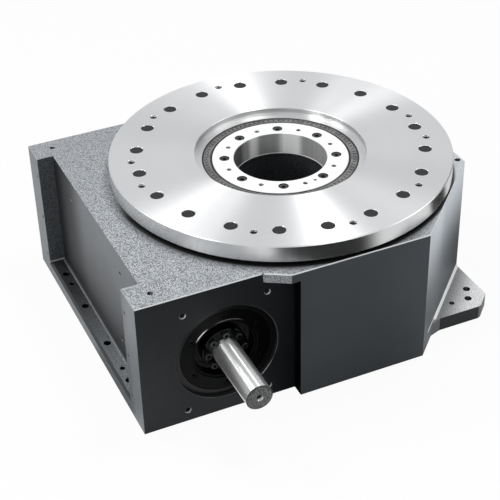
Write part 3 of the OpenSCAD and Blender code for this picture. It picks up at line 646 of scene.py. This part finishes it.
# %% Rubber
def rubber_skin(f, dark, dusty, dust_end):
    """Gives f the pores of rubber, and returns its tint from dark to dusty."""
    pores = f.noise(700.0, 3.0, 0.6)
    dust = f.noise(60.0, 3.0, 0.6)
    f.feed(Roughness=0.62 + pores * 0.15, Normal=f.bump(pores, 0.00015, 0.35))
    return f.blend(f.step(dust * 0.5 + pores * 0.5, 0.42, dust_end), dark, dusty)


def rubber(name, colour):
    f = Finish(name, {"Specular IOR Level": 0.3})
    return f.feed(Base_Color=rubber_skin(f, grey(colour), grey(colour * 1.9, 0.01), 0.68))


keep("seal_rubber", rubber("seal_rubber", 0.03))
keep("rib_rubber", rubber("rib_rubber", 0.012))

# %% [markdown]
# ## The seal between table and ring
# The seal has two dark grooves with a dusty grey land between them.

# %% The seal between table and ring
def seal_face():
    f = Finish("seal_face", {"Specular IOR Level": 0.3})
    x, y, _ = f.axes(f.place())
    outer_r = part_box("centre_seal")[1].x
    land = f.band(off_table_axis(x, y), ring_r + 0.0028, outer_r - 0.0026, 0.0006)
    tint = rubber_skin(f, grey(0.13), grey(0.26, 0.01), 0.62)
    return f.feed(Base_Color=f.blend(land, grey(0.02), tint))


keep("centre_seal", seal_face())

# %% [markdown]
# ## Plastic
# The caps over the table's screws are smooth plastic with a faint sheen.

# %% Plastic
def moulded_plastic(name, colour):
    f = Finish(name, {"Specular IOR Level": 0.25})
    fine = f.noise(1100.0, 2.0, 0.5)
    broad = f.noise(25.0, 2.0, 0.5)
    tint = f.blend(broad, grey(colour * 0.9, -0.02), grey(colour * 1.12, -0.02))
    return f.feed(Base_Color=tint, Roughness=0.45 + fine * 0.1, Normal=f.bump(fine, 0.00005, 0.3))


keep("cap_plastic", moulded_plastic("cap_plastic", 0.014))

# %% [markdown]
# ## Give every solid its finish
# The model's record says which slot each solid's finish belongs to. A few solids have a
# finish of their own, kept by the solid's name, and it goes before the slot's. One loop
# hands them all out. Nothing on a solid is moved.

# %% Hand out the finishes
for part in frame["record"]["subparts"]:
    solid = frame["nodes"][part["node"]]
    finish = finishes.get(part["node"]) or finishes[part["material_slot"]]
    solid.data.materials.clear()
    solid.data.materials.append(finish.material)

# %% [markdown]
# ## A helper for new pieces
# Each new piece starts as a bmesh, is shaped by bmesh operators, and becomes an object at
# the world's origin with its place in its mesh. It rides on the body that carries it.

# %% Make a piece
def make_piece(name, mesh, body, finish, smooth=True):
    bmesh.ops.remove_doubles(mesh, verts=mesh.verts, dist=1e-6)
    bmesh.ops.recalc_face_normals(mesh, faces=mesh.faces)
    for face in mesh.faces:
        face.smooth = smooth
    data = bpy.data.meshes.new(name)
    mesh.to_mesh(data)
    mesh.free()
    data.materials.append(finishes[finish].material)
    piece = bpy.data.objects.new(name, data)
    bpy.context.scene.collection.objects.link(piece)
    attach(piece, body)
    print(name, len(data.polygons), "faces")
    return piece


def turn_profile(mesh, profile, centre, axis, steps):
    """Spins a closed profile of (radius, height) points right round an axis."""
    axis = Vector(axis)
    side = axis.orthogonal().normalized()
    corners = [mesh.verts.new(Vector(centre) + side * r + axis * h) for r, h in profile]
    edges = [mesh.edges.new((corners[i - 1], corners[i])) for i in range(len(corners))]
    bmesh.ops.spin(mesh, geom=corners + edges, cent=centre, axis=axis, dvec=(0, 0, 0),
                   angle=2 * math.pi, steps=steps, use_merge=True, use_duplicate=False)


print("piece helpers ready")

# %% [markdown]
# ## Threads
# The table's and the ring's fixture holes are tapped. A thread in a hole this small only
# shows as fine bright rings, so each hole gets a sleeve with a row of sharp ridges, spun
# round the hole's axis. Modelled as rings it needs no start and no end.

# %% Thread sleeves
thread_mouth = 0.0012   # a thread starts this far below the face


def thread_sleeve(mesh, centre, axis, hole_r, depth, pitch, steps=24):
    """Ridges inside a tapped hole whose mouth is at centre; axis points out of the hole."""
    turns = int(depth / pitch)
    wall, root, crest = hole_r - 0.00004, hole_r - 0.00012, hole_r - 0.30 * pitch
    profile = [(wall, -thread_mouth - turns * pitch)]
    for i in range(turns, 0, -1):
        low = -thread_mouth - i * pitch
        profile += [(root, low), (crest, low + 0.5 * pitch)]
    profile += [(root, -thread_mouth), (wall, -thread_mouth)]
    turn_profile(mesh, profile, centre, axis, steps)


def on_circle(circle_d, degrees, z):
    """A place on a circle round the table's axis, clockwise from +Y."""
    a = math.radians(degrees)
    return Vector((circle_d / 2 * math.sin(a), circle_d / 2 * math.cos(a), z))


print("thread helpers ready")

# %% [markdown]
# ## Threads in the table and the centre ring
# The record states six of the table's ten fixture holes. The other four lie on the same
# circle, a quarter turn apart. The centre ring's eight holes are evenly spaced.

# %% Threads in the table and the centre ring
ring_holes = mounts["centre_ring_holes"]
plate_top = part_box("turning_plate")[1].z
fixture_r = mounts["fixture_hole_1"]["dims"]["r_mm"] / 1000
fixture_holes = [Vector(mount["pos_m"]) for name, mount in mounts.items()
                 if name.startswith("fixture_hole")]
fixture_circle = 2 * fixture_holes[0].xy.length
fixture_z = fixture_holes[0].z
first_square_hole = 89.04       # degrees, counted as on_circle does
fixture_holes += [on_circle(fixture_circle, first_square_hole + 90.0 * i, fixture_z)
                  for i in range(4)]

threads = bmesh.new()
for hole in fixture_holes:
    thread_sleeve(threads, hole, (0, 0, 1), fixture_r, depth=0.018, pitch=0.00175)
make_piece("plate_threads", threads, "table", "thread_steel")

threads = bmesh.new()
for i in range(ring_holes["dims"]["count"]):
    hole = on_circle(ring_holes["dims"]["pcd_mm"] / 1000, 45.0 * i, ring_holes["pos_m"][2])
    thread_sleeve(threads, hole, (0, 0, 1), ring_holes["dims"]["hole_r_mm"] / 1000,
                  depth=0.015, pitch=0.00125)
make_piece("ring_threads", threads, "housing", "thread_steel")

# %% [markdown]
# ## Threads in the motor flange
# The four corner holes round the shaft hold the motor's flange, and are tapped as well.

# %% Threads in the motor flange
flange = mounts["motor_bolts"]
threads = bmesh.new()
for side in (-1, 1):
    for level in (-1, 1):
        hole = Vector(flange["pos_m"]) + Vector((side * bolt_x, 0, level * bolt_z))
        thread_sleeve(threads, hole, (0, -1, 0), flange["dims"]["hole_r_mm"] / 1000,
                      depth=0.02, pitch=0.0015)
make_piece("motor_threads", threads, "housing", "thread_steel")

# %% [markdown]
# ## Ribs on the centre seal
# The seal ring between the table and the still centre is moulded rubber. Between its two
# grooves it has a ring of small raised ribs, so that it can be gripped and pulled out.
# One rib is a cube with a small bevel, and spinning copies of it gives the ring.

# %% Seal ribs
seal_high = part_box("centre_seal")[1]
rib_count, rib_in, rib_out = 90, 0.1067, 0.1103
rib_width, rib_height, rib_lift, rib_bevel = 0.0017, 0.0005, 0.0001, 0.00018
rib = bmesh.new()
bmesh.ops.create_cube(rib, size=1.0)
bmesh.ops.scale(rib, vec=(rib_width, rib_out - rib_in, rib_height), verts=rib.verts)
bmesh.ops.translate(rib, vec=(0, (rib_in + rib_out) / 2, seal_high.z + rib_lift),
                    verts=rib.verts)
bmesh.ops.bevel(rib, geom=rib.edges[:], offset=rib_bevel, offset_type="OFFSET", segments=1,
                profile=0.5, affect="EDGES", material=-1)
bmesh.ops.spin(rib, geom=rib.verts[:] + rib.edges[:] + rib.faces[:], cent=(0, 0, 0),
               axis=(0, 0, 1), dvec=(0, 0, 0), angle=2 * math.pi * (rib_count - 1) / rib_count,
               steps=rib_count - 1, use_duplicate=True)
make_piece("seal_ribs", rib, "table", "rib_rubber", smooth=False)

# %% [markdown]
# ## The studio
# The unit stands on a pale floor among soft lamps. The one above and the ones behind on
# the left each make a pair of bright fans on the turned table. Two more on the left put
# wide bright bands along the shaft, and a weak one on the right lifts the slanted corner.
# Polished steel also needs something dark to reflect, as real studios use black cards.

# %% Where the dark cards stand
# each card is (degrees clockwise from +Y, half its width in degrees)
floor_cards = ((182.0, 28.0), (103.0, 10.0), (252.0, 13.0))
wall_cards = ((176.0, 26.0), (76.0, 13.0), (272.0, 13.0))


def dark_cards(f, x, y, cards):
    """How much a direction on plan points at one of the dark cards."""
    reach = off_table_axis(x, y)
    dark = 0.0
    for degrees, half in cards:
        turn = math.radians(degrees)
        facing = (x * math.sin(turn) + y * math.cos(turn)) / reach
        outside, well_in = math.radians(half * 1.3), math.radians(half * 0.5)
        dark = dark + f.step(facing, math.cos(outside), math.cos(well_in))
    return f.step(dark, 0.0, 1.0)


print("dark cards:", len(floor_cards), "over the floor,", len(wall_cards), "round the room")

# %% [markdown]
# ## Floor
# The floor is nearly white to the camera and keeps a faint shadow. In reflections it is
# dimmer, and black where a card stands.

# %% Floor
floor_half, floor_gap = 12.0, 0.0005


def make_floor():
    mesh = bmesh.new()
    bmesh.ops.create_grid(mesh, x_segments=1, y_segments=1, size=floor_half)
    bmesh.ops.translate(mesh, vec=(0, 0, -floor_gap), verts=mesh.verts)
    data = bpy.data.meshes.new("floor")
    mesh.to_mesh(data)
    mesh.free()
    f = Finish("floor_paper", {"Roughness": 0.9, "Specular IOR Level": 0.1})
    camera = f.node("ShaderNodeLightPath", output="Is Camera Ray")
    glossy = f.node("ShaderNodeLightPath", output="Is Glossy Ray")
    x, y, _ = f.axes(f.place())
    dark = dark_cards(f, x, y, floor_cards)
    grain = f.noise(40.0, 2.0)
    paper = f.blend(grain, grey(0.80), grey(0.82))
    f.feed(Base_Color=f.blend(dark * glossy, paper, grey(0.01)))
    white = f.node("ShaderNodeEmission", values={"Color": grey(1.0), "Strength": 1.0})
    share = camera * 0.93 + glossy * 0.25 * (1 - dark)
    out = f.tree.nodes["Material Output"]
    f.connect(out.inputs["Surface"], f.node("ShaderNodeMixShader", values={
        0: share, 1: Value(f, f.shader.outputs[0]), 2: white}))
    data.materials.append(f.material)
    floor = bpy.data.objects.new("floor", data)
    bpy.context.scene.collection.objects.link(floor)
    print("floor", 2 * floor_half, "m wide")


make_floor()

# %% [markdown]
# ## World
# Past the floor the room is white to the camera, and it lights everything evenly. In
# reflections it is white too, with dark cards standing round it, low down.

# %% World
class Room(Finish):
    """The same shader maths for the world around the object."""
    def __init__(self, name):
        self.world = bpy.data.worlds.new(name)
        self.world.use_nodes = True
        self.tree = self.world.node_tree


def make_world():
    f = Room("studio")
    bpy.context.scene.world = f.world
    camera = f.node("ShaderNodeLightPath", output="Is Camera Ray")
    glossy = f.node("ShaderNodeLightPath", output="Is Glossy Ray")
    x, y, z = f.axes(f.place("Generated"))
    low = f.under(z, 0.25, 0.55)
    dark = dark_cards(f, x, y, wall_cards) * low
    seen = camera + glossy * (1 - camera) * 0.9 * (1 - dark)
    plain = (1 - camera) * (1 - glossy) * 0.5
    background = f.tree.nodes["Background"].inputs
    f.connect(background["Color"], (0.97, 0.985, 1.0, 1))
    f.connect(background["Strength"], seen + plain)
    print("world of", len(f.tree.nodes), "nodes")


make_world()

# %% [markdown]
# ## Lamps
# All lamps are squares that face the middle of the table. A small one makes a narrow
# bright band, and a large one a wide soft band.

# %% Lamps
target = Vector((0, 0, plate_top))


def make_lamp(name, direction, distance, size, level):
    """A soft square lamp. level is how bright it alone makes a white face square to it."""
    data = bpy.data.lights.new(name, "AREA")
    data.size = size
    data.energy = level * math.pi ** 2 * distance ** 2
    lamp = bpy.data.objects.new(name, data)
    way = Vector(direction).normalized()
    lamp.location = target + way * distance
    lamp.rotation_euler = way.to_track_quat("Z", "Y").to_euler()
    bpy.context.scene.collection.objects.link(lamp)
    print(name, "%.1f W" % data.energy)


far, near = 2.6, 1.2
make_lamp("lamp_above", (0.265, 0.0, 0.95), far, size=0.5, level=0.29)
make_lamp("lamp_back_left", (-0.433, 0.38, 0.78), far, size=0.5, level=0.15)
make_lamp("lamp_further_left", (-0.48, 0.496, 0.75), far, size=0.5, level=0.08)
make_lamp("lamp_left", (-0.88, -0.20, 0.36), far, size=0.7, level=0.28)
make_lamp("lamp_high_left", (-0.66, -0.12, 0.70), far, size=0.6, level=0.08)
make_lamp("lamp_right", (0.8, -0.42, 0.45), near, size=0.6, level=0.14)

# %% [markdown]
# ## Camera
# A long lens from the front left, well above the table, so that its round top shows as an
# open oval. The camera is a little rolled, and aims beside the unit's middle.

# %% Camera
def make_camera():
    data = bpy.data.cameras.new("camera")
    data.sensor_width = 36.0
    data.lens = 95.96
    camera = bpy.data.objects.new("camera", data)
    camera.location = (-0.7193, -1.5154, 1.2262)
    forward = Vector((0.331, 0.752, -0.570)).normalized()
    right = Vector((0.909, -0.416, -0.021))
    right = (right - forward * right.dot(forward)).normalized()
    up = right.cross(forward)
    camera.rotation_euler = Matrix((right, up, -forward)).transposed().to_euler()
    data.clip_start, data.clip_end = 0.05, 60.0
    bpy.context.scene.collection.objects.link(camera)
    bpy.context.scene.camera = camera


make_camera()
bpy.context.scene.view_settings.view_transform = "Standard"
print("camera with a %.2f mm lens" % bpy.context.scene.camera.data.lens)
